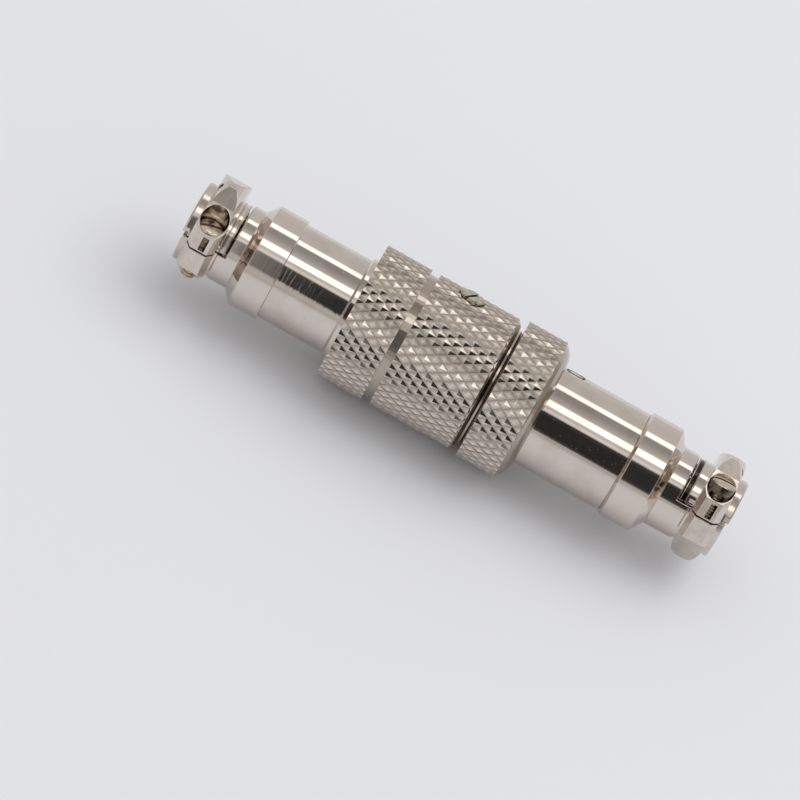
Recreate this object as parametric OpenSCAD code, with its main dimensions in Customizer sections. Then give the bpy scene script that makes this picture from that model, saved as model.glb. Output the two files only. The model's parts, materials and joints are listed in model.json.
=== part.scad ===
// In-line circular connector, mated: knurled receptacle half at -X, plug half with its
// coupling nut at +X, and a two-screw cable clamp at each end. Axis along X, resting on
// the nut. Millimetres, +Z up.

/* [Shell and nut] */
// Diameter over the knurl of the receptacle shell
shell_d = 18.5; // [17.8:0.1:20]
// Diameter over the knurl of the coupling nut
nut_d = 19.2; // [18.6:0.1:21]
// Length of the shell's front knurl
front_knurl_len = 11.4; // [9:0.1:14]
// Length of the shell's rear knurl
rear_knurl_len = 6.3; // [4:0.1:9]
// Width of the smooth groove between the knurls
groove_w = 1.2; // [0.8:0.1:2]
// Depth of that groove
groove_depth = 0.6; // [0.45:0.05:0.8]
// Length of the nut's knurl
nut_knurl_len = 5.4; // [4.4:0.1:7]
// Length of the nut's rounded rear shoulder
nut_shoulder = 1.25; // [0.8:0.05:1.8]
// Wall of the nut over the coupling thread, knurl included
nut_wall = 1.85; // [1.6:0.05:2]

/* [Knurl] */
// Diamonds round the circumference
knurl_count = 46; // [36:1:56]
// Length of one diamond along the axis
knurl_lead = 2.2; // [1.6:0.05:3]
// Height of a diamond
knurl_depth = 0.23; // [0.15:0.01:0.4]

/* [Back shells] */
// Outside diameter of the receptacle's barrel
rear_barrel_d = 13.1; // [12.6:0.1:13.6]
// Plain length of the receptacle's barrel
rear_barrel_len = 9.1; // [6:0.1:16]
// Outside diameter of the plug's barrel
plug_barrel_d = 13.6; // [13:0.1:14.2]
// Plain length of the plug's barrel
plug_barrel_len = 12; // [8:0.1:18]
// How far each tail's ring stands out from its barrel, on the radius
ring_step = 0.42; // [0.25:0.05:0.9]
// Length of the ring on the receptacle's tail
rear_ring_len = 4; // [3.4:0.1:6]
// Length of the ring on the plug's tail
plug_ring_len = 4.5; // [3.4:0.1:6]
// Diameter of the tails' noses
nose_d = 10.8; // [10.4:0.1:11.4]

/* [Cable clamps] */
// Cable opening between the grip ribs
bore_d = 7.8; // [6:0.1:8.2]
// Width over the ears
ear_span = 14.1; // [13.9:0.1:15]
// Spacing of the two clamp screws
screw_spacing = 10.2; // [10.1:0.05:10.3]
// Gap between saddle and base
clamp_gap = 0.25; // [0.15:0.05:0.6]
// Height of the saddle's ridge over the axis
saddle_ridge = 7.6; // [7.2:0.1:8.6]
// Depth of the base's ridge under the axis
base_ridge = 7.2; // [6.8:0.1:8]
// Turn of the receptacle's clamp about the axis
rear_clamp_turn = 7; // [-60:0.5:60]
// Turn of the plug's clamp about the axis
plug_clamp_turn = 22; // [-60:0.5:60]
// How far the plug's near clamp screw is backed out
screw_backed_out = 2; // [0:0.1:2.2]

/* [Screws] */
// Length of a clamp screw under its head
screw_len = 6.9; // [6.4:0.1:8]
// Head diameter of a clamp screw
screw_head_d = 3.3; // [2.9:0.05:3.4]
// Direction of the set screws, from +Y towards +Z
set_screw_angle = 68; // [0:0.5:180]

/* [Contacts] */
// Diameter of a contact pin
pin_d = 1.5; // [1:0.05:1.6]
// Radius of the circle the contacts stand on
contact_circle = 3.1; // [2.7:0.05:3.4]
// Length of the pin insulator
insulator_len = 9.35; // [7:0.05:9.35]

/* [Hidden] */
$fn = 72;
fit = 0.02;
run = 0.05;

shell_r = shell_d / 2;
nut_r = nut_d / 2;
groove_r = shell_r - groove_depth;
thread_r = nut_r - nut_wall;

// stations along the axis; 0 is the shoulder that the pin insulator seats on
knurl_end = 3.65;
lip_end = knurl_end + 0.45;
front_knurl_x = knurl_end - front_knurl_len;
groove_x = front_knurl_x - groove_w;
rear_knurl_x = groove_x - rear_knurl_len;
thread_end = 9;
collar_len = 0.85;
barrel_shoulder = rear_knurl_x - collar_len;
rear_tail_x = barrel_shoulder - rear_barrel_len;
nut_x = 4.75;
nut_cone_x = nut_x + nut_knurl_len;
nut_back = nut_cone_x + nut_shoulder;
lip_len = 1.4;
flange_x = thread_end + 0.1;
flange_back = nut_back - lip_len - 0.04;
plug_barrel_x = nut_back + 0.05;
plug_tail_x = plug_barrel_x + plug_barrel_len + 0.1;

// radii inside the shell and the back shells
insulator_r = 6.95;
set_screw_r = 1.72;
plug_set_screw_r = 1.25;
screw_bevel = 0.15;
seat_r = insulator_r + fit;
rear_collar_r = insulator_r;
rear_barrel_r = rear_barrel_d / 2;
rear_bore_r = rear_barrel_r - 1;
plug_barrel_r = plug_barrel_d / 2;
sleeve_r = thread_r - 1.25;
sleeve_bore_r = sleeve_r - 1.1;
socket_bore_r = sleeve_r + run;
neck_wall = 0.68;
neck_r = plug_barrel_r - neck_wall;
flange_r = thread_r - 0.25;
spigot_in = 0.5;
spigot_len = 2.7;

// cable clamp: distances outward from the nose's shoulder
bore_r = bore_d / 2;
relief_r = bore_r + 0.45;
nose_r = nose_d / 2;
nose_len = 1.65;
plug_nose_len = 2.1;
cone_len = 1.25;
parting = 0.9;
saddle_parting = parting + clamp_gap;
flange_w = 0.85;
rear_step_w = 0.3;
plug_step_w = 1.1;
body_w = 3.8;
end_ring = 1.1;
ear_y = ear_span / 2;
screw_y = screw_spacing / 2;
screw_r = 1;
head_r = screw_head_d / 2;
head_side = 1.1;
head_h = 1.5;
head_seat = 2.7;
slot_depth = 0.65;
notch_shift = 0.25;
pocket_r = head_r + 0.14;
ear_top = 3.78;
ear_bottom = -2.3;
draft = 0.22;

// contacts: distances along the axis
contact_angles = [45, 135, 225, 315];
pin_cup_x = -13;
pin_cup_floor = -9.6;
pin_collar_x = -8.6;
pin_shoulder_x = -3;
pin_taper_x = 6.2;
pin_tip_x = 6.8;
socket_front_x = 1.7;
socket_bore_end = 7.8;
socket_shoulder_x = 9;
socket_neck_x = 13.2;
socket_cup_floor = 15;
socket_back_x = 18.5;
cup_cut = 2.6;
slit_len = 3.9;

// turn of each clamp screw's slot
rear_near_slot = 25;
rear_far_slot = -40;
plug_near_slot = 10;
plug_far_slot = -30;

rear_out = nose_len + 0.25 + flange_w + rear_step_w + body_w + end_ring;
plug_out = plug_nose_len + 0.15 + flange_w + plug_step_w + body_w + end_ring;
x_min = rear_tail_x - rear_ring_len - cone_len - rear_out;
x_max = plug_tail_x + plug_ring_len + cone_len + plug_out;

metal = [0.74, 0.72, 0.69];
cast_metal = [0.71, 0.69, 0.66];
steel = [0.66, 0.66, 0.65];
plastic = [0.09, 0.09, 0.1];
gilt = [0.83, 0.68, 0.36];

// from the axis to the resting place: the nut's lowest line at z = 0, length centred
module placed() {
  translate([-(x_min + x_max) / 2, 0, nut_r]) children();
}

// a solid of revolution about X from [radius, x] points
module turned(points) {
  rotate([0, 90, 0]) rotate_extrude() polygon(points);
}

module rod(r, x0, x1) {
  translate([x0, 0, 0]) rotate([0, 90, 0]) cylinder(r = r, h = x1 - x0);
}

// Rows of a diamond knurl for knurled_skin: [x, valley radius, crest radius]
function knurl_rows(x, len, r) = let (n = max(2, round(2 * len / knurl_lead)))
  [for (i = [0:n]) [x + len * i / n, r - knurl_depth, r]];

function smooth_row(x, r) = [[x, r, r]];

// A solid whose skin is a grid of points round the axis, low and high in turn along
// each row, so that every cell is split on the groove joining its two low corners.
module knurled_skin(rows) {
  n = 2 * knurl_count;
  last = len(rows) - 1;
  points = [
    for (i = [0:last])
      for (j = [0:n - 1])
        let (r = rows[i][1 + (i + j) % 2], a = 360 * j / n)
          [rows[i][0], r * cos(a), r * sin(a)]
  ];
  sides = [
    for (i = [0:last - 1])
      for (j = [0:n - 1])
        for (half = [0, 1])
          let (k = (j + 1) % n, p = i * n + j, q = i * n + k, s = p + n, t = q + n)
            (i + j) % 2 == 0
              ? (half == 0 ? [p, t, q] : [p, s, t])
              : (half == 0 ? [p, s, q] : [q, s, t])
  ];
  near_cap = [for (j = [0:n - 1]) j];
  far_cap = [for (j = [n - 1:-1:0]) last * n + j];
  polyhedron(points = points, faces = concat(sides, [near_cap, far_cap]));
}

// along the set screws' direction, with +Z outward
module set_screw_place(x, angle) {
  translate([x, 0, 0]) rotate([angle - 90, 0, 0]) children();
}

module grub_screw(r, bottom, top, slot, turn) {
  difference() {
    union() {
      translate([0, 0, bottom]) cylinder(r = r, h = top - bottom - screw_bevel);
      translate([0, 0, top - screw_bevel])
        cylinder(r1 = r, r2 = r - screw_bevel, h = screw_bevel);
    }
    rotate([0, 0, turn]) translate([-2 * r, -0.2, top - slot]) cube([4 * r, 0.4, 1]);
  }
}

// ---- receptacle half ----

module receptacle_shell() {
  color(metal) placed() difference() {
    union() {
      knurled_skin(concat(
        knurl_rows(rear_knurl_x, rear_knurl_len, shell_r),
        smooth_row(groove_x, groove_r),
        smooth_row(front_knurl_x, groove_r),
        knurl_rows(front_knurl_x, front_knurl_len - 0.25, shell_r),
        smooth_row(knurl_end, shell_r - knurl_depth - 0.03),
        smooth_row(lip_end, shell_r - 0.8)
      ));
      turned([
        [0, lip_end - 1], [thread_r + 0.2, lip_end - 1], [thread_r + 0.2, lip_end + 0.3],
        [thread_r, lip_end + 0.5], [thread_r, thread_end - 0.3],
        [thread_r - 0.3, thread_end], [0, thread_end]
      ]);
    }
    turned([
      [0, rear_knurl_x - 1], [seat_r, rear_knurl_x - 1], [seat_r, 0],
      [socket_bore_r, 0], [socket_bore_r, thread_end + 1], [0, thread_end + 1]
    ]);
    translate([0.3, -0.68, 0]) cube([thread_end, 1.36, sleeve_r + 0.6]);
    set_screw_place(front_knurl_x + 4.8, set_screw_angle) {
      cylinder(r = set_screw_r + fit, h = shell_r + 1);
      translate([0, 0, shell_r - knurl_depth - 0.4]) cylinder(r = set_screw_r + 0.12, h = 2);
    }
  }
}

module receptacle_set_screw() {
  color(gilt) placed() set_screw_place(front_knurl_x + 4.8, set_screw_angle)
    grub_screw(set_screw_r, insulator_r - 0.38, shell_r + 0.14, 0.7, 65);
}

// threaded front larger than the barrel; its edge shows as a narrow collar
module receptacle_barrel() {
  front = -insulator_len - run;
  color(metal) placed() turned([
    [rear_bore_r, rear_tail_x - spigot_len], [rear_barrel_r - spigot_in, rear_tail_x - spigot_len],
    [rear_barrel_r - spigot_in, rear_tail_x], [rear_barrel_r, rear_tail_x],
    [rear_barrel_r, barrel_shoulder], [rear_collar_r, barrel_shoulder + 0.3],
    [rear_collar_r, front], [rear_bore_r, front]
  ]);
}

module pin_insulator() {
  color(plastic) placed() difference() {
    rod(insulator_r, -insulator_len, -fit);
    for (a = contact_angles)
      rotate([a, 0, 0]) translate([0, contact_circle, 0]) {
        rod(pin_d / 2 + fit, pin_shoulder_x - 1, 1);
        rod(pin_d / 2 + 0.35 + fit, -insulator_len - 1, pin_shoulder_x);
      }
    // seat of the set screw
    set_screw_place(front_knurl_x + 4.8, set_screw_angle)
      translate([0, 0, insulator_r - 0.4]) cylinder(r = set_screw_r + run, h = 1);
  }
}

// pin with a shoulder in the insulator and an open solder cup behind it
module pin_contact(angle) {
  r = pin_d / 2;
  color(gilt) placed() rotate([angle, 0, 0]) translate([0, contact_circle, 0]) difference() {
    turned([
      [0, pin_cup_x], [r + 0.2, pin_cup_x], [r + 0.2, pin_collar_x], [r + 0.35, pin_collar_x],
      [r + 0.35, pin_shoulder_x - fit], [r, pin_shoulder_x - fit], [r, pin_taper_x],
      [r * 0.72, pin_tip_x - 0.2], [r * 0.3, pin_tip_x], [0, pin_tip_x]
    ]);
    rod(r - 0.08, pin_cup_x - 1, pin_cup_floor);
    translate([pin_cup_x - 1, 0.1, -2 * r]) cube([cup_cut, 4 * r, 4 * r]);
  }
}

module pin_contact_1() {
  pin_contact(contact_angles[0]);
}

module pin_contact_2() {
  pin_contact(contact_angles[1]);
}

module pin_contact_3() {
  pin_contact(contact_angles[2]);
}

module pin_contact_4() {
  pin_contact(contact_angles[3]);
}

// ---- cable clamp, drawn outward along +X from the tail ring's inner face ----

// a clamp half's solid body: its end view, its side view and its plan, intersected
module cast_block(end_view, side_view, plan_view) {
  intersection() {
    rotate([90, 0, 90]) linear_extrude(2 * body_w, center = true) polygon(end_view);
    rotate([90, 0, 0]) linear_extrude(2 * ear_span, center = true) polygon(side_view);
    linear_extrude(4 * ear_y, center = true) polygon(plan_view);
  }
}

function mirrored(side) = concat(
  side,
  [for (i = [len(side) - 1:-1:0]) [-side[i][0], side[i][1]]]
);

half_w = body_w / 2;

ear_plan = [
  [half_w, -ear_y + 1.1], [half_w, ear_y - 1.1], [half_w - 0.75, ear_y],
  [-half_w + 0.75, ear_y], [-half_w, ear_y - 1.1], [-half_w, -ear_y + 1.1],
  [-half_w + 0.75, -ear_y], [half_w - 0.75, -ear_y]
];

// centred on the screws; z from the axis
module saddle_block() {
  ridge = saddle_ridge;
  cast_block(
    mirrored([
      [ear_y, saddle_parting], [ear_y, ear_top], [3.3, ridge - 1.25], [0.5, ridge]
    ]),
    mirrored([
      [half_w, 0], [half_w, ear_top + 0.7], [half_w - 0.1, ridge - 1.8],
      [half_w - 0.35, ridge - 1.1], [half_w - 0.72, ridge - 0.55],
      [half_w - 1.2, ridge - 0.15], [0.35, ridge + 0.05]
    ]),
    ear_plan
  );
}

module base_block() {
  ridge = -base_ridge;
  cast_block(
    mirrored([[ear_y, parting], [ear_y - draft, ear_bottom], [4.55, ear_bottom - 0.3], [0.35, ridge]]),
    mirrored([
      [half_w, 2], [half_w, ridge + 2.2], [half_w - 0.2, ridge + 1.2],
      [half_w - 0.6, ridge + 0.4], [half_w - 1.1, ridge + 0.05], [0.3, ridge]
    ]),
    ear_plan
  );
}

// hollow under the ridge, open at the outer end
module ridge_pocket(ridge, dir) {
  translate([half_w - 1.6, 0, 0]) rotate([90, 0, 90]) linear_extrude(3) polygon([
    [-1.5, dir * 5.5], [1.5, dir * 5.5], [0.35, dir * (ridge - 0.75)],
    [-0.35, dir * (ridge - 0.75)]
  ]);
}

// ribbed cable bore of a clamp, from x0 outward to x1
module clamp_bore(x0, x1) {
  step = (x1 - x0) / 3;
  turned(concat(
    [[0, x0]],
    [
      for (i = [0:2])
        for (p = [[relief_r, 0], [relief_r, 0.5], [bore_r, 0.65], [bore_r, 1]])
          [p[0], x0 + (i + p[1]) * step]
    ],
    [[0, x1 + 0.5]]
  ));
}

// the fixed part of a back shell's end: ring, cone, nose and the clamp's lower half
module tail(barrel_r, ring_len, ring_bevel, nose, mid) {
  ring_r = barrel_r + ring_step;
  shoulder = ring_len + cone_len + nose;
  out = mid + half_w + end_ring - 0.3;
  difference() {
    union() {
      turned([
        [0, 0], [ring_r - ring_bevel, 0], [ring_r, ring_bevel], [ring_r, ring_len],
        [nose_r, ring_len + cone_len], [nose_r, shoulder - 0.15], [nose_r - 0.15, shoulder],
        [0, shoulder]
      ]);
      intersection() {
        turned([
          [0, shoulder - 1], [nose_r, shoulder - 1], [nose_r, mid - half_w - 0.45],
          [nose_r - 0.2, mid - half_w - 0.3], [nose_r - 0.2, mid - half_w + 0.5],
          [nose_r - 0.1, out - 0.15], [nose_r - 0.25, out], [0, out]
        ]);
        translate([0, -ear_span, -ear_span]) cube([4 * ear_span, 2 * ear_span, ear_span + parting]);
      }
      translate([mid, 0, 0]) base_block();
    }
    // bore: spigot seat, a taper and the ribbed grip
    turned([
      [0, -1], [barrel_r - spigot_in + fit, -1], [barrel_r - spigot_in + fit, spigot_len + 0.1],
      [barrel_r - 1.1, spigot_len + 0.1], [barrel_r - 1.1, ring_len - 0.4],
      [relief_r, ring_len + cone_len], [relief_r, shoulder], [0, shoulder]
    ]);
    clamp_bore(shoulder - 0.5, out);
    translate([mid, 0, 0]) ridge_pocket(base_ridge, -1);
    for (s = [-1, 1])
      translate([mid, s * screw_y, -ear_y]) cylinder(r = screw_r + 0.04, h = 2 * ear_y);
  }
}

// the loose part of a clamp
module saddle(start, step_w, mid) {
  out = mid + half_w + end_ring;
  recess_w = min(0.8, step_w - 0.1);
  difference() {
    union() {
      intersection() {
        turned([
          [0, start], [nose_r - 0.15, start], [nose_r, start + 0.12],
          [nose_r - 0.3, start + 0.2], [nose_r - 0.3, start + flange_w - 0.18],
          [nose_r, start + flange_w - 0.1], [nose_r - 0.2, start + flange_w],
          [nose_r - 0.2, mid - half_w + 0.5], [nose_r - 0.1, out - 0.2],
          [nose_r - 0.3, out], [0, out]
        ]);
        translate([0, -ear_span, saddle_parting]) cube([4 * ear_span, 2 * ear_span, ear_span]);
      }
      translate([mid, 0, 0]) saddle_block();
    }
    clamp_bore(start, out);
    translate([mid, 0, 0]) ridge_pocket(saddle_ridge, 1);
    for (s = [-1, 1]) {
      // screw's way, its head's pocket and the slot in the ear's outer wall
      translate([mid, s * screw_y, 0]) cylinder(r = screw_r + 0.12, h = ear_span);
      translate([mid, s * screw_y, head_seat - fit]) cylinder(r = pocket_r, h = ear_span);
      translate([mid - 0.42 - s * notch_shift, s * ear_y - 1, saddle_parting + 0.2])
        cube([0.84, 2, 2.1]);
      // recess beside the flange and notch in the end ring, near the parting
      translate([start + flange_w + step_w - recess_w, s * 5.2 - 0.35, saddle_parting + 0.3])
        cube([recess_w, 0.7, 1.6]);
      translate([out - 0.75, s * 5.2 - 0.6, saddle_parting - 1]) cube([1, 1.2, 1.8]);
    }
  }
}

// slotted cheese-head screw pointing down, seat of the head at z = 0
module clamp_screw(slot_turn) {
  difference() {
    rotate_extrude() polygon([
      [0, -screw_len], [screw_r - 0.4, -screw_len], [screw_r, -screw_len + 0.9],
      [screw_r, 0], [head_r, 0], [head_r, head_side], [head_r - 0.12, head_side + 0.18],
      [head_r - 0.5, head_h - 0.1], [head_r - 1, head_h - 0.02], [0, head_h]
    ]);
    rotate([0, 0, slot_turn]) translate([-3, -0.24, head_h - slot_depth]) cube([6, 0.48, 2]);
  }
}

rear_mid = rear_ring_len + cone_len + nose_len + 0.25 + flange_w + rear_step_w + half_w;
plug_mid = plug_ring_len + cone_len + plug_nose_len + 0.15 + flange_w + plug_step_w + half_w;

module rear_end() {
  placed() translate([rear_tail_x, 0, 0]) rotate([-rear_clamp_turn, 0, 0])
    rotate([0, 0, 180]) children();
}

module plug_end() {
  placed() translate([plug_tail_x, 0, 0]) rotate([-plug_clamp_turn, 0, 0]) children();
}

module receptacle_tail() {
  color(cast_metal) rear_end() tail(rear_barrel_r, rear_ring_len, 0.12, nose_len, rear_mid);
}

module receptacle_saddle() {
  color(cast_metal) rear_end()
    saddle(rear_ring_len + cone_len + nose_len + 0.25, rear_step_w, rear_mid);
}

module receptacle_near_screw() {
  color(steel) rear_end() translate([rear_mid, screw_y, head_seat]) clamp_screw(rear_near_slot);
}

module receptacle_far_screw() {
  color(steel) rear_end() translate([rear_mid, -screw_y, head_seat]) clamp_screw(rear_far_slot);
}

// ---- plug half ----

module coupling_nut() {
  lip_x = nut_back - lip_len;
  color(metal) placed() difference() {
    knurled_skin(concat(
      knurl_rows(nut_x, nut_knurl_len, nut_r),
      smooth_row(nut_cone_x + 0.1 * nut_shoulder, nut_r - 0.28),
      smooth_row(nut_cone_x + 0.45 * nut_shoulder, nut_r - 0.7),
      smooth_row(nut_cone_x + 0.78 * nut_shoulder, nut_r - 1.3),
      smooth_row(nut_back, nut_r - 2.1)
    ));
    turned([
      [0, nut_x - 1], [thread_r + 0.6, nut_x - 1], [thread_r + 0.6, nut_x],
      [thread_r + run, nut_x + 0.45], [thread_r + run, lip_x], [neck_r + run, lip_x],
      [neck_r + run, nut_back + 1], [0, nut_back + 1]
    ]);
  }
}

module plug_sleeve() {
  color(metal) placed() difference() {
    union() {
      turned([
        [sleeve_bore_r, 1], [sleeve_r - 0.3, 1], [sleeve_r, 1.3], [sleeve_r, flange_x],
        [flange_r, flange_x], [flange_r, flange_back], [neck_r, flange_back],
        [neck_r, plug_barrel_x + 5], [sleeve_bore_r - 0.5, plug_barrel_x + 5],
        [sleeve_bore_r - 0.5, plug_barrel_x + 2.6], [sleeve_bore_r, plug_barrel_x + 2.6]
      ]);
      translate([1.5, -0.6, sleeve_bore_r + 0.3])
        cube([flange_x - 1.5, 1.2, sleeve_r - sleeve_bore_r + 0.2]);
    }
    // dimple under the set screw
    set_screw_place(plug_barrel_x + 1.5, set_screw_angle - 6)
      translate([0, 0, neck_r - 0.4]) cylinder(r = plug_set_screw_r + run, h = 2);
  }
}

module plug_barrel() {
  x1 = plug_tail_x - fit;
  color(metal) placed() difference() {
    turned([
      [neck_r + fit, plug_barrel_x], [plug_barrel_r, plug_barrel_x], [plug_barrel_r, x1 - 0.08],
      [plug_barrel_r - 0.08, x1], [plug_barrel_r - spigot_in, x1],
      [plug_barrel_r - spigot_in, plug_tail_x + spigot_len],
      [plug_barrel_r - 1, plug_tail_x + spigot_len], [plug_barrel_r - 1, plug_barrel_x + 5.3],
      [neck_r + fit, plug_barrel_x + 5.3]
    ]);
    set_screw_place(plug_barrel_x + 1.5, set_screw_angle - 6)
      cylinder(r = plug_set_screw_r + run, h = plug_barrel_r + 1);
  }
}

module plug_set_screw() {
  color(steel) placed() set_screw_place(plug_barrel_x + 1.5, set_screw_angle - 6)
    grub_screw(plug_set_screw_r, neck_r - 0.38, plug_barrel_r - 0.15, 0.5, 0);
}

module socket_insulator() {
  color(plastic) placed() difference() {
    rod(sleeve_bore_r - fit, socket_front_x - 0.45, plug_barrel_x + 2.5);
    for (a = contact_angles)
      rotate([a, 0, 0]) translate([0, contact_circle, 0]) {
        rod(pin_d / 2 + 0.32, 0, socket_shoulder_x + 1);
        rod(pin_d / 2 + 0.52, socket_shoulder_x, socket_back_x + 1);
      }
  }
}

// spring socket with two slits, a shoulder and an open solder cup
module socket_contact(angle) {
  r = pin_d / 2 + run;
  color(gilt) placed() rotate([angle, 0, 0]) translate([0, contact_circle, 0]) difference() {
    turned([
      [0, socket_front_x], [r + 0.25, socket_front_x], [r + 0.25, socket_shoulder_x + fit],
      [r + 0.45, socket_shoulder_x + fit], [r + 0.45, socket_neck_x], [r + 0.15, socket_neck_x],
      [r + 0.15, socket_back_x], [0, socket_back_x]
    ]);
    rod(r, socket_front_x - 1, socket_bore_end);
    translate([socket_front_x - 1, -0.13, -2 * r]) cube([slit_len + 1, 0.26, 4 * r]);
    rod(r - 0.12, socket_cup_floor, socket_back_x + 1);
    translate([socket_back_x - cup_cut, 0.1, -2 * r]) cube([cup_cut + 1, 4 * r, 4 * r]);
  }
}

module socket_contact_1() {
  socket_contact(contact_angles[0]);
}

module socket_contact_2() {
  socket_contact(contact_angles[1]);
}

module socket_contact_3() {
  socket_contact(contact_angles[2]);
}

module socket_contact_4() {
  socket_contact(contact_angles[3]);
}

module plug_tail() {
  color(cast_metal) plug_end() tail(plug_barrel_r, plug_ring_len, 0.36, plug_nose_len, plug_mid);
}

module plug_saddle() {
  color(cast_metal) plug_end()
    saddle(plug_ring_len + cone_len + plug_nose_len + 0.15, plug_step_w, plug_mid);
}

module plug_near_screw() {
  color(steel) plug_end()
    translate([plug_mid, -screw_y, head_seat + screw_backed_out]) clamp_screw(plug_near_slot);
}

module plug_far_screw() {
  color(steel) plug_end() translate([plug_mid, screw_y, head_seat]) clamp_screw(plug_far_slot);
}

receptacle_shell();
receptacle_barrel();
receptacle_tail();
pin_insulator();
pin_contact_1();
pin_contact_2();
pin_contact_3();
pin_contact_4();
receptacle_set_screw();
receptacle_saddle();
receptacle_near_screw();
receptacle_far_screw();
coupling_nut();
plug_sleeve();
plug_barrel();
plug_tail();
socket_insulator();
socket_contact_1();
socket_contact_2();
socket_contact_3();
socket_contact_4();
plug_set_screw();
plug_saddle();
plug_near_screw();
plug_far_screw();
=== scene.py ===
import json
import math
import bmesh
import bpy
from mathutils import Matrix, Vector


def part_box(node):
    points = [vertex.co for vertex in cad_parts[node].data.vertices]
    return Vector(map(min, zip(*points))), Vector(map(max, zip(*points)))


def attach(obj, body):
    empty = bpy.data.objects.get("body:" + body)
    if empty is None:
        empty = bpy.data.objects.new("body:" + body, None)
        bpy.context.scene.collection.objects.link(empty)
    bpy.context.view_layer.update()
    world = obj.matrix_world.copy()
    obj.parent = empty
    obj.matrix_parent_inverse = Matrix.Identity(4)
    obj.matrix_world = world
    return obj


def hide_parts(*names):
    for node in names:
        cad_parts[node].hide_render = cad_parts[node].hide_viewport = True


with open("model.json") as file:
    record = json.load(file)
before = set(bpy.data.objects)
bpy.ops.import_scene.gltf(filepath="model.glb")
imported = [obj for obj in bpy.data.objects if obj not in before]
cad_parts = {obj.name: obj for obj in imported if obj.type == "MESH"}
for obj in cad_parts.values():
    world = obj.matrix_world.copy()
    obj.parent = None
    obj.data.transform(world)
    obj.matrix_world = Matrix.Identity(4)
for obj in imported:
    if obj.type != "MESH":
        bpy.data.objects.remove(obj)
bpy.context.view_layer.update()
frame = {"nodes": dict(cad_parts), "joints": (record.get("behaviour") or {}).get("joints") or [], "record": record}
mm = 0.001

# the axis runs along X through the middle of the coupling nut
boxOf = {name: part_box(name) for name in frame["nodes"]}
nutLow, nutHigh = boxOf["coupling_nut"]
shellLow, shellHigh = boxOf["receptacle_shell"]
axisZ = (nutLow.z + nutHigh.z) / 2
nutR = (nutHigh.z - nutLow.z) / 2 / mm
shellR = (shellHigh.y - shellLow.y) / 2 / mm
print("frame loaded,", len(boxOf), "pieces")


class Val:  # a socket that takes part in Python arithmetic
    def __init__(self, tree, socket):
        self.tree = tree
        self.socket = socket

    def __add__(self, other):
        return self.tree.math("ADD", self, other)

    def __radd__(self, other):
        return self.tree.math("ADD", other, self)

    def __sub__(self, other):
        return self.tree.math("SUBTRACT", self, other)

    def __rsub__(self, other):
        return self.tree.math("SUBTRACT", other, self)

    def __mul__(self, other):
        return self.tree.math("MULTIPLY", self, other)

    def __rmul__(self, other):
        return self.tree.math("MULTIPLY", other, self)

    def __truediv__(self, other):
        return self.tree.math("DIVIDE", self, other)

    def __rtruediv__(self, other):
        return self.tree.math("DIVIDE", other, self)

    def __pow__(self, other):
        return self.tree.math("POWER", self, other)

    def __neg__(self):
        return self * -1

    def gt(self, other):
        return self.tree.math("GREATER_THAN", self, other)

    def lt(self, other):
        return self.tree.math("LESS_THAN", self, other)

    def ramp(self, low, high):  # 0 at low, 1 at high, smooth between
        return self.tree.node("ShaderNodeMapRange", {"interpolation_type": "SMOOTHSTEP"},
                              {"Value": self, "From Min": low, "From Max": high})

    def within(self, low, high, fade):  # 1 from low to high, fading inside both ends
        return self.ramp(low, low + fade) * (1 - self.ramp(high - fade, high))


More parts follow.
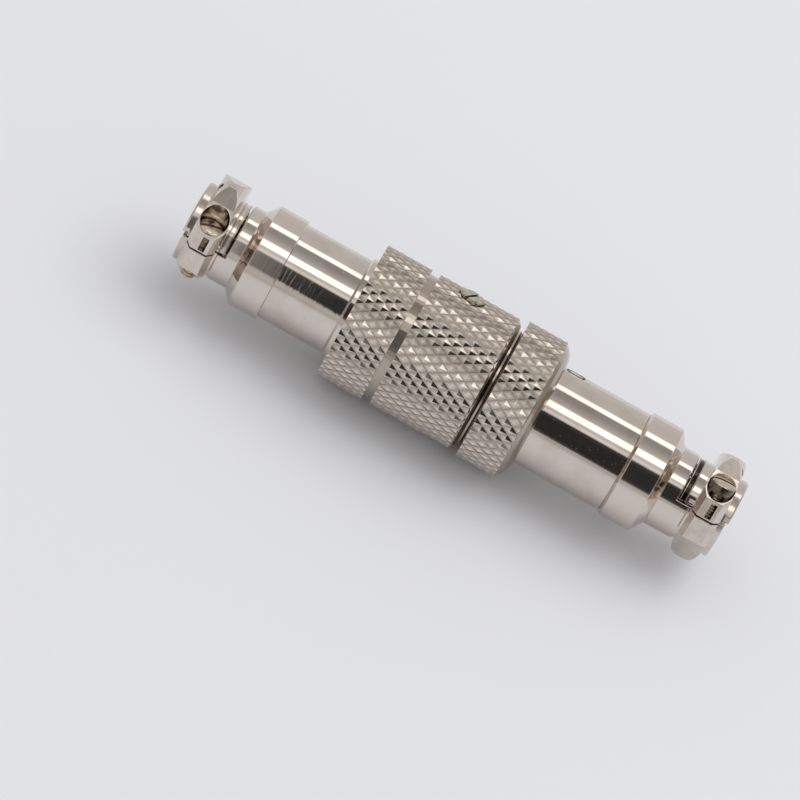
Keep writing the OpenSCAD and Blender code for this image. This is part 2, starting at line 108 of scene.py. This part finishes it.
class Tree:  # one node tree, of a material or the world
    def __init__(self, owner):
        owner.use_nodes = True
        self.nodes = owner.node_tree.nodes
        self.links = owner.node_tree.links
        self.nodes.clear()

    def node(self, kind, settings=None, inputs=None, out=0):
        made = self.nodes.new(kind)
        for name, value in (settings or {}).items():
            if name == "stops":
                self.setStops(made.color_ramp, value)
            else:
                setattr(made, name, value)
        for name, value in (inputs or {}).items():
            socket = made.inputs[name]
            if isinstance(value, Val):
                self.links.new(value.socket, socket)
            else:
                socket.default_value = value
        return Val(self, made.outputs[out]) if len(made.outputs) else None

    def setStops(self, ramp, stops):
        while len(ramp.elements) > 1:
            ramp.elements.remove(ramp.elements[-1])
        ramp.elements[0].position = stops[0][0]
        ramp.elements[0].color = (*stops[0][1], 1)
        for place, colour in stops[1:]:
            ramp.elements.new(place).color = (*colour, 1)

    def math(self, operation, *values):
        return self.node("ShaderNodeMath", {"operation": operation}, dict(enumerate(values)))

    def mix(self, amount, a, b):  # of two colours, which are the Mix node's sockets 6 and 7
        return self.node("ShaderNodeMix", {"data_type": "RGBA"},
                         {"Factor": amount, 6: rgba(a), 7: rgba(b)}, out=2)

    def place(self):  # position in the row frame at rest, in millimetres
        where = self.node("ShaderNodeTexCoord", out=3)
        where = self.node("ShaderNodeVectorMath", {"operation": "SCALE"},
                          {0: where, "Scale": 1 / mm})
        return where, self.split(where)

    def split(self, vector):
        apart = self.node("ShaderNodeSeparateXYZ", {}, {0: vector})
        return [Val(self, out) for out in apart.socket.node.outputs]

    def join(self, x, y, z):
        return self.node("ShaderNodeCombineXYZ", {}, {0: x, 1: y, 2: z})

    def noise(self, where, scale, detail, rough):
        return self.node("ShaderNodeTexNoise", {}, {"Vector": where, "Scale": scale,
                                                    "Detail": detail, "Roughness": rough})

    def marks(self, x, y, z, across, around, detail, rough):
        # noise drawn out round the axis, as a lathe leaves it
        return self.noise(self.join(x * across, y * around, z * around), 1.0, detail, rough)

    def bump(self, height, distance, under=None):  # distance in millimetres
        ins = {"Height": height, "Distance": distance * mm}
        if under:
            ins["Normal"] = under
        return self.node("ShaderNodeBump", {}, ins)

    def edges(self, radius):  # softened edges, radius in millimetres
        return self.node("ShaderNodeBevel", {"samples": 6}, {"Radius": radius * mm})

    def surface(self, colour, metal, rough, normal=None):
        ins = {"Base Color": rgba(colour), "Metallic": metal, "Roughness": rough}
        if normal:
            ins["Normal"] = normal
        shader = self.node("ShaderNodeBsdfPrincipled", {}, ins)
        self.node("ShaderNodeOutputMaterial", {}, {"Surface": shader})


def rgba(colour):
    return colour if isinstance(colour, Val) or len(colour) == 4 else (*colour, 1)


def newTree(name):
    return Tree(bpy.data.materials.new(name))


# A noise is given as its scale per mm, detail and roughness, and turning marks as their scale
# along the axis, scale round it, detail and roughness. A range is where a noise starts to show
# and where it is full.
turnedNickel = {
    "colour": (0.70, 0.635, 0.58),
    "shade": (0.64, 0.57, 0.51),
    "blotch": (0.35, 3, 0.55),
    "blotchRange": (0.35, 0.7),
    "rough": 0.03,
    "blotchRough": 0.03,
    "lines": (7.0, 0.25, 3, 0.6),
    "lineHeight": 0.0006,       # fine turning marks, mm
    "waves": (2.2, 0.4, 2, 0.5),
    "waveHeight": 0.0022,       # slow waviness along a mark, mm
    "specks": (5.0, 2, 0.5),
    "speckRange": (0.71, 0.78),
    "speckRough": 0.15,
    "speckDepth": 0.004,
}
knurl = {
    "depth": 0.23,
    "crestFlat": 0.02,          # how far below the top the crest's colour is full, mm
    "crest": (0.80, 0.75, 0.69),
    # painted shade: the colour of the knurl's valleys, darker than its crests
    "valley": (0.46, 0.40, 0.34),
    "rough": 0.10,
    "dents": (2.6, 3, 0.6),
    "dentRange": (0.4, 0.65),
    "dentRough": 0.1,
    "dentHeight": 0.010,
    "edge": 0.10,               # rounding of its edges, mm
}
couplingThread = {
    "pitch": 1.0,
    "height": 0.45,
    "fade": 0.1,                # how softly it starts and ends along the axis
    "shellLength": 4.4,         # back from the shell's mouth
    "shellDepths": (1.9, 1.0),  # of its root and crest, below the shell's knurl
    "nutEnds": (0.4, 1.4),      # plain ends inside the nut
    "nutDepths": (2.2, 1.6),
}


def nickel(name, knurlR=None, threadX=None, threadR=None):
    # knurlR: the knurl's outer radius; threadX and threadR: where the thread's bump lies
    tree = newTree(name)
    where, (x, y, z) = tree.place()
    z = z - axisZ / mm
    radius = (y * y + z * z) ** 0.5
    t, k, c = turnedNickel, knurl, couplingThread
    blotch = tree.noise(where, *t["blotch"])
    colour = tree.mix(blotch.ramp(*t["blotchRange"]), t["colour"], t["shade"])
    if knurlR:
        height = radius.ramp(knurlR - k["depth"], knurlR - k["crestFlat"])
        dents = tree.noise(where, *k["dents"])
        worn = tree.mix(dents.ramp(*k["dentRange"]), k["crest"], colour)
        # painted shade: the colour darkens from the crests down into the knurl's valleys
        colour = tree.mix(height, k["valley"], worn)
        rough = k["rough"] + dents * k["dentRough"]
        normal = tree.bump(dents * height, k["dentHeight"], under=tree.edges(k["edge"]))
    else:
        specks = tree.noise(where, *t["specks"]).ramp(*t["speckRange"])
        rough = t["rough"] + blotch * t["blotchRough"] + specks * t["speckRough"]
        normal = tree.bump(tree.marks(x, y, z, *t["waves"]), t["waveHeight"])
        normal = tree.bump(tree.marks(x, y, z, *t["lines"]), t["lineHeight"], under=normal)
        normal = tree.bump(specks, -t["speckDepth"], under=normal)
    if threadX:
        turns = x / c["pitch"] - tree.math("ARCTAN2", z, y) / (2 * math.pi)
        ridge = tree.math("PINGPONG", turns, 0.5)
        shown = x.within(*threadX, c["fade"]) * radius.gt(threadR[0]) * radius.lt(threadR[1])
        normal = tree.bump(ridge * shown, c["height"], under=normal)
    tree.surface(colour, 1.0, rough, normal)


cast = {
    "colour": (0.70, 0.63, 0.57),
    "shade": (0.60, 0.53, 0.46),
    "blotch": (0.6, 3, 0.6),
    "blotchRange": (0.35, 0.7),
    "rough": 0.10,
    "turnedGloss": 0.03,        # how much less rough it is where it was turned
    "grainRough": 0.12,
    "lumps": (1.3, 2, 0.5),
    "lumpHeight": 0.012,
    "grain": (4.5, 3, 0.6),
    "grainHeight": 0.002,
    "edge": 0.16,               # rounding of the casting's edges, mm
    "turnedFade": 0.3,
    "turnedPast": 1.0,          # beyond the casting's own end
    "receptacleTurned": 9.6,    # length of the turned front, mm
    "plugTurned": 10.5,
    # painted shade: a near-black colour laid in the groove beside the plug's clamp
    "paintedGrooveShade": (0.05, 0.042, 0.036),
    "grooveShadeWide": 0.85,           # of the groove beside the plug's clamp
    "grooveShadeFade": 0.08,
    "grooveShadeBelow": (5.23, 5.35),  # radii between which the painted shade ends
}


def castNickel(name, turnedX, grooveX=None):
    # turnedX: the stretch that was turned smooth before plating; grooveX: where shade is painted into the groove
    tree = newTree(name)
    where, (x, y, z) = tree.place()
    c, t = cast, turnedNickel
    fade = c["turnedFade"]
    smooth = x.within(turnedX[0] - fade / 2, turnedX[1] + fade / 2, fade)
    rawness = 1 - smooth
    grain = tree.noise(where, *c["grain"]) * rawness
    lumps = tree.noise(where, *c["lumps"]) * rawness
    blotch = tree.noise(where, *c["blotch"]).ramp(*c["blotchRange"]) * rawness
    colour = tree.mix(blotch, c["colour"], c["shade"])
    if grooveX:
        fromAxis = z - axisZ / mm
        radius = (y * y + fromAxis * fromAxis) ** 0.5
        # painted shade in the groove, within grooveX and below the given radii
        paintedGrooveShade = x.within(*grooveX, c["grooveShadeFade"]) * (1 - radius.ramp(*c["grooveShadeBelow"]))
        colour = tree.mix(paintedGrooveShade, colour, c["paintedGrooveShade"])
    rough = c["rough"] - smooth * c["turnedGloss"] + grain * c["grainRough"]
    normal = tree.bump(lumps, c["lumpHeight"], under=tree.edges(c["edge"]))
    normal = tree.bump(grain, c["grainHeight"], under=normal)
    lines = tree.marks(x, y, z, *t["lines"]) * smooth
    normal = tree.bump(lines, t["lineHeight"], under=normal)
    tree.surface(colour, 1.0, rough, normal)


screwMetal = {
    "steel": {"colour": (0.66, 0.58, 0.48), "stain": (0.36, 0.27, 0.17)},
    # painted shade: a dark colour for the clamp screw head's wall
    "shadedWall": {"colour": (0.20, 0.155, 0.12), "stain": (0.06, 0.045, 0.035)},
    "brass": {"colour": (0.52, 0.49, 0.38), "stain": (0.20, 0.17, 0.09)},
    "blotch": (1.6, 3, 0.6),
    "blotchRange": (0.48, 0.72),
    "rough": 0.16,
    "blotchRough": 0.15,
    "scratches": (9.0, 3, 0.65),
    "scratchHeight": 0.006,
}


def stainedMetal(name, kind):
    tree = newTree(name)
    where, xyz = tree.place()
    s = screwMetal
    blotch = tree.noise(where, *s["blotch"])
    colour = tree.mix(blotch.ramp(*s["blotchRange"]), s[kind]["colour"], s[kind]["stain"])
    normal = tree.bump(tree.noise(where, *s["scratches"]), s["scratchHeight"])
    tree.surface(colour, 1.0, s["rough"] + blotch * s["blotchRough"], normal)


insulator = {
    "colour": (0.012, 0.012, 0.013),
    "worn": (0.022, 0.021, 0.02),
    "grain": (6.0, 3, 0.6),
    "grainHeight": 0.004,
    "rough": 0.38,
    "grainRough": 0.15,
}


def blackPlastic(name):
    tree = newTree(name)
    where, xyz = tree.place()
    i = insulator
    grain = tree.noise(where, *i["grain"])
    colour = tree.mix(grain, i["colour"], i["worn"])
    rough = i["rough"] + grain * i["grainRough"]
    tree.surface(colour, 0.0, rough, tree.bump(grain, i["grainHeight"]))


contact = {
    "colour": (0.86, 0.66, 0.30),
    "shade": (0.70, 0.50, 0.22),
    "grain": (4.0, 3, 0.6),
    "grainRange": (0.4, 0.7),
    "grainHeight": 0.003,
    "rough": 0.2,
    "grainRough": 0.1,
}


def contactPlate(name):
    tree = newTree(name)
    where, xyz = tree.place()
    c = contact
    grain = tree.noise(where, *c["grain"])
    colour = tree.mix(grain.ramp(*c["grainRange"]), c["colour"], c["shade"])
    rough = c["rough"] + grain * c["grainRough"]
    tree.surface(colour, 1.0, rough, tree.bump(grain, c["grainHeight"]))


def makeFinishes():
    c = couplingThread
    mouth = shellHigh.x / mm
    nutEnds = nutLow.x / mm + c["nutEnds"][0], nutHigh.x / mm - c["nutEnds"][1]
    nickel("shellNickel", shellR, (mouth - c["shellLength"], mouth),
           [shellR - depth for depth in c["shellDepths"]])
    nickel("nutNickel", nutR, nutEnds, [nutR - depth for depth in c["nutDepths"]])
    nickel("barrelNickel")
    past = cast["turnedPast"]
    rearFront = boxOf["receptacle_tail"][1].x / mm
    plugFront = boxOf["plug_tail"][0].x / mm
    saddleX = boxOf["plug_saddle"][0].x / mm
    plugTurned = (plugFront - past, plugFront + cast["plugTurned"])
    castNickel("rearCast", (rearFront - cast["receptacleTurned"], rearFront + past))
    castNickel("plugCast", plugTurned)
    castNickel("plugSaddleCast", plugTurned, (saddleX, saddleX + cast["grooveShadeWide"]))
    stainedMetal("clampScrewSteel", "steel")
    # painted shade for the walls of the clamp screw heads
    stainedMetal("clampScrewSide", "shadedWall")
    stainedMetal("setScrewBrass", "brass")
    blackPlastic("insulatorBlack")
    contactPlate("contactPlating")


finishOf = {
    "receptacle_shell": "shellNickel", "coupling_nut": "nutNickel",
    "receptacle_barrel": "barrelNickel", "plug_barrel": "barrelNickel",
    "plug_sleeve": "barrelNickel",
    "receptacle_tail": "rearCast", "receptacle_saddle": "rearCast",
    "plug_tail": "plugCast", "plug_saddle": "plugSaddleCast",
    "receptacle_set_screw": "setScrewBrass", "plug_set_screw": "clampScrewSteel",
}

makeFinishes()
for name, node in frame["nodes"].items():
    if name in finishOf:
        finish = finishOf[name]
    elif "contact" in name:
        finish = "contactPlating"
    elif "insulator" in name:
        finish = "insulatorBlack"
    else:
        finish = "clampScrewSteel"
    for place in node.material_slots:
        place.material = bpy.data.materials[finish]
print("finishes on the CAD pieces")


# The clamp screws, in millimetres: z = 0 is the head's seat, and the shank points down.
clampScrew = {
    "pitch": 0.4,
    "threadR": 0.99,
    "rootR": 0.77,
    "flank": 2.9,               # how steeply a ridge rises, per pitch
    "tipFade": 0.5,             # length over which the thread starts at the tip
    "tipRise": 0.1,             # share of the thread's height at the very tip
    "headFade": 0.35,           # length over which it runs out under the head
    "taper": 0.25,              # of the radius, at the tip
    "taperLength": 0.3,
    "shankSteps": 32,
    "rowsPerPitch": 8,
    "headR": 1.65,
    "headSide": 1.1,
    "headHigh": 1.5,
    "rim": ((0.05, 0.11), (0.13, 0.2)),  # in from the wall, and up from its top edge
    "dome": ((0.5, 0.09), (1.0, 0.02)),  # in from the wall, and down from the top
    "topR": 0.02,
    "headSteps": 48,
    "slotWide": 0.48,
    "slotDeep": 0.65,
    "slotRound": 0.03,
    "wallFrom": 0.95,           # share of headR where a face counts as the head's wall
    "wallLean": 0.2,            # and how far it may lean
    "smoothBelow": 38,          # degrees between faces that shade as one
    "slotTurns": {"receptacle_near_screw": 25, "receptacle_far_screw": -40,
                  "plug_near_screw": 10, "plug_far_screw": -30},
}


def ringAt(shape, z, radii):
    step = 2 * math.pi / len(radii)
    return [shape.verts.new((radius * math.cos(step * j), radius * math.sin(step * j), z))
            for j, radius in enumerate(radii)]


def meshFrom(shape, name):
    shape.normal_update()
    mesh = bpy.data.meshes.new(name)
    shape.to_mesh(mesh)
    shape.free()
    return mesh


def skinned(shape, rings, name):  # rings from the bottom up, closed at both ends
    for low, high in zip(rings, rings[1:]):
        for j in range(len(low)):
            k = (j + 1) % len(low)
            shape.faces.new((low[j], low[k], high[k], high[j]))
    shape.faces.new(list(reversed(rings[0])))
    shape.faces.new(rings[-1])
    return meshFrom(shape, name)


def objectFrom(mesh):
    piece = bpy.data.objects.new(mesh.name, mesh)
    bpy.context.collection.objects.link(piece)
    return piece


def threadedShank(length):  # rings whose radius follows the thread as it climbs
    c = clampScrew
    shape = bmesh.new()
    rows = int(length / c["pitch"] * c["rowsPerPitch"])
    rings = []
    for row in range(rows, -1, -1):
        z = -length * row / rows
        fromTip = length + z
        fade = min(1, fromTip / c["tipFade"] + c["tipRise"]) * min(1, -z / c["headFade"])
        root = c["rootR"] - c["taper"] * max(0, 1 - fromTip / c["taperLength"])
        radii = []
        for j in range(c["shankSteps"]):
            phase = (z / c["pitch"] + j / c["shankSteps"]) % 1
            ridge = min(1, c["flank"] * (0.5 - abs(phase - 0.5)))
            radii.append(root + (c["threadR"] - c["rootR"]) * ridge * fade)
        rings.append(ringAt(shape, z, radii))
    return skinned(shape, rings, "shank")


def slotCutter():  # longer than the head is wide, and open above
    c = clampScrew
    shape = bmesh.new()
    bmesh.ops.create_cube(shape, size=1.0)
    bottom = c["headHigh"] - c["slotDeep"]
    for v in shape.verts:
        v.co = Vector((v.co.x * 4 * c["headR"], v.co.y * c["slotWide"], bottom + v.co.z + 0.5))
    return objectFrom(meshFrom(shape, "slotCut"))


def slottedHead():  # a turned head with a rounded rim, cut across by the slot
    c = clampScrew
    wall, side, high = c["headR"], c["headSide"], c["headHigh"]
    profile = [(wall, 0), (wall, side)]
    profile += [(wall - inward, side + up) for inward, up in c["rim"]]
    profile += [(wall - inward, high - down) for inward, down in c["dome"]]
    profile.append((c["topR"], high))
    shape = bmesh.new()
    rings = [ringAt(shape, z, [radius] * c["headSteps"]) for radius, z in profile]
    head, slot = objectFrom(skinned(shape, rings, "slottedHead")), slotCutter()
    cut = head.modifiers.new("slot", "BOOLEAN")
    cut.operation, cut.solver, cut.object = "DIFFERENCE", "EXACT", slot
    soft = head.modifiers.new("soft", "BEVEL")
    soft.width, soft.limit_method = c["slotRound"], "ANGLE"
    seen = head.evaluated_get(bpy.context.evaluated_depsgraph_get())
    mesh = bpy.data.meshes.new_from_object(seen)
    for piece in (head, slot):
        bpy.data.objects.remove(piece)
    for face in mesh.polygons:  # the head's wall takes the second material, painted dark as shade
        upright = abs(face.normal.z) < c["wallLean"] and face.center.z < side
        face.material_index = int(upright and face.center.xy.length > c["wallFrom"] * wall)
    return mesh


def buildClampScrew(name, slotTurn):
    # it stands on the joint's axis, as far out as the solid that it replaces
    joint = next(j for j in frame["joints"] if j["name"] == name + "_turn")
    up, on = Vector(joint["axis"]).normalized(), Vector(joint["pos_m"])
    along = [(v.co - on).dot(up) for v in frame["nodes"][name].data.vertices]
    headHigh = clampScrew["headHigh"]
    seat = on + up * (max(along) - headHigh * mm)
    length = (max(along) - min(along)) / mm - headHigh

    shape = bmesh.new()
    shape.from_mesh(threadedShank(length))
    shape.from_mesh(slottedHead())
    across = Vector((1, 0, 0))
    turned = Matrix.Rotation(math.radians(slotTurn), 3, "Z")
    stand = Matrix((across, up.cross(across), up)).transposed() @ turned
    for v in shape.verts:
        v.co = seat + stand @ (v.co * mm)
    mesh = meshFrom(shape, name + "_threaded")
    for face in mesh.polygons:
        face.use_smooth = True
    mesh.set_sharp_from_angle(angle=math.radians(clampScrew["smoothBelow"]))
    for finish in ("clampScrewSteel", "clampScrewSide"):
        mesh.materials.append(bpy.data.materials[finish])
    piece = objectFrom(mesh)
    bodies = frame["record"]["behaviour"]["bodies"]
    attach(piece, next(body for body, nodes in bodies.items() if name in nodes))
    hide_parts(name)


for name, slotTurn in clampScrew["slotTurns"].items():
    buildClampScrew(name, slotTurn)
print("threaded clamp screws")


# The room that the metal mirrors. Angles are in degrees round the axis, from the camera's side
# over the top, and an X is a direction's share away from the plug's end.
room = {
    "tint": (1.0, 0.975, 0.955),
    "strength": 2.0,
    "bands": (                  # angle and brightness, of the strip lights and between them
        (0, 0.62), (4, 0.55), (8, 0.10), (14, 0.03), (44, 0.03), (52, 0.06), (54.5, 0.75),
        (58, 1.0), (61, 0.70), (66, 0.70), (68, 1.8), (79, 1.8), (82, 0.62), (90, 0.48),
        (100, 0.36), (111, 0.35), (114, 1.8), (122, 1.8), (126, 0.66), (150, 0.64), (180, 0.68),
    ),
    "cardZone": (5.4, 54),      # the dark card stands within these angles
    "cardEdge": 8,              # its lower edge
    "cardClimb": 12,            # how much higher that edge is at its far end
    "cardClimbX": (-0.02, 0.035),
    "cardSoft": 2.16,
    "cardEndX": (0.0285, 0.031),
    "beyondCard": (0.58, 0.57, 0.56),
    "rear": (0.66, 0.64, 0.62),
    "rearX": (0.22, 0.34),
    "side": (0.44, 0.42, 0.40),
    "sideX": (0.55, 0.85),
    "fill": (0.69, 0.69, 0.70),         # what lights matt things from all round
    "backdrop": (0.745, 0.752, 0.791),  # what the camera sees behind the floor
}


def buildRoom():
    world = bpy.data.worlds.new("room")
    bpy.context.scene.world = world
    tree = Tree(world)
    x, y, z = tree.split(tree.node("ShaderNodeTexCoord", out=0))
    r, strength = room, room["strength"]
    tints = [tuple(level / strength * w for w in r["tint"]) for at, level in r["bands"]]
    stops = [(at / 180, tint) for (at, level), tint in zip(r["bands"], tints)]
    angle = tree.math("ARCTAN2", z, -y) * (180 / math.pi)
    bands = tree.node("ShaderNodeValToRGB", {"stops": stops}, {"Fac": angle / 180})
    lower = (-x).ramp(*r["cardClimbX"]) * r["cardClimb"] + r["cardEdge"]
    onCard = angle.ramp(lower - r["cardSoft"], lower + r["cardSoft"])
    onCard = onCard * (1 - (-x).ramp(*r["cardEndX"]))
    zone = angle.gt(r["cardZone"][0]) * angle.lt(r["cardZone"][1])
    dim = {name: tuple(v / strength for v in r[name]) for name in ("beyondCard", "rear", "side")}
    mirrored = tree.mix((1 - onCard) * zone, bands, dim["beyondCard"])
    mirrored = tree.mix((-x).ramp(*r["rearX"]), mirrored, dim["rear"])
    mirrored = tree.mix(tree.math("ABSOLUTE", x).ramp(*r["sideX"]), mirrored, dim["side"])
    rays = tree.node("ShaderNodeLightPath").socket.node.outputs
    byCamera, glossy = Val(tree, rays["Is Camera Ray"]), Val(tree, rays["Is Glossy Ray"])
    calm = tree.mix(byCamera, r["fill"], r["backdrop"])
    plain = tree.node("ShaderNodeBackground", {}, {"Color": calm, "Strength": 1.0})
    lit = tree.node("ShaderNodeBackground", {}, {"Color": mirrored, "Strength": strength})
    both = tree.node("ShaderNodeMixShader", {}, {"Fac": glossy, 1: plain, 2: lit})
    tree.node("ShaderNodeOutputWorld", {}, {"Surface": both})


floor = {
    "colour": (0.80, 0.805, 0.83),
    "shade": 0.985,
    "grain": (0.02, 3, 0.5),
    "rough": 0.7,
    "size": 6.0,
}


def buildFloor():
    f, h = floor, floor["size"] / 2
    tree = newTree("paleFloor")
    where, xyz = tree.place()
    shade = tuple(c * f["shade"] for c in f["colour"])
    tree.surface(tree.mix(tree.noise(where, *f["grain"]), f["colour"], shade), 0.0, f["rough"])
    mesh = bpy.data.meshes.new("floor")
    mesh.from_pydata([(-h, -h, 0), (h, -h, 0), (h, h, 0), (-h, h, 0)], [], [(0, 1, 2, 3)])
    mesh.materials.append(bpy.data.materials["paleFloor"])
    objectFrom(mesh)


softLamp = {"power": 4.2, "size": 1.1, "place": (0.35, 0.25, 0.95)}


def buildLamp():
    light = bpy.data.lights.new("softLamp", "AREA")
    light.shape = "DISK"
    light.size = softLamp["size"]
    light.energy = softLamp["power"]
    lamp = bpy.data.objects.new("softLamp", light)
    bpy.context.collection.objects.link(lamp)
    lamp.location = softLamp["place"]
    lamp.rotation_mode = "QUATERNION"
    lamp.rotation_quaternion = Vector(softLamp["place"]).to_track_quat("Z", "Y")
    lamp.visible_glossy = False
    lamp.visible_camera = False


buildRoom()
buildFloor()
buildLamp()
print("studio")


shot = {
    "elevation": 42.0,
    "roll": 29.3,
    "distance": 0.9,
    "frameWidth": 99.63 * mm,
    "sensor": 36,
    "clip": (0.05, 20),
    "alongAxis": -4.6 * mm,     # what stands in the middle of the picture
    "belowAxis": 6.91 * mm,
}


def buildCamera():
    tilt, roll = math.radians(shot["elevation"]), math.radians(shot["roll"])
    back = Vector((0, -math.cos(tilt), math.sin(tilt)))
    level = Vector((0, math.sin(tilt), math.cos(tilt)))
    along = Vector((1, 0, 0))
    right = along * math.cos(roll) + level * math.sin(roll)
    up = level * math.cos(roll) - along * math.sin(roll)
    middle = Vector((shot["alongAxis"], 0, axisZ)) - level * shot["belowAxis"]
    data = bpy.data.cameras.new("camera")
    data.sensor_width = shot["sensor"]
    data.lens = shot["sensor"] * shot["distance"] / shot["frameWidth"]
    data.clip_start, data.clip_end = shot["clip"]
    camera = bpy.data.objects.new("camera", data)
    bpy.context.collection.objects.link(camera)
    turn = Matrix((right, up, back)).transposed()
    camera.matrix_world = Matrix.Translation(middle + back * shot["distance"]) @ turn.to_4x4()
    bpy.context.scene.camera = camera
    bpy.context.scene.view_settings.view_transform = "Standard"


buildCamera()
print("camera")
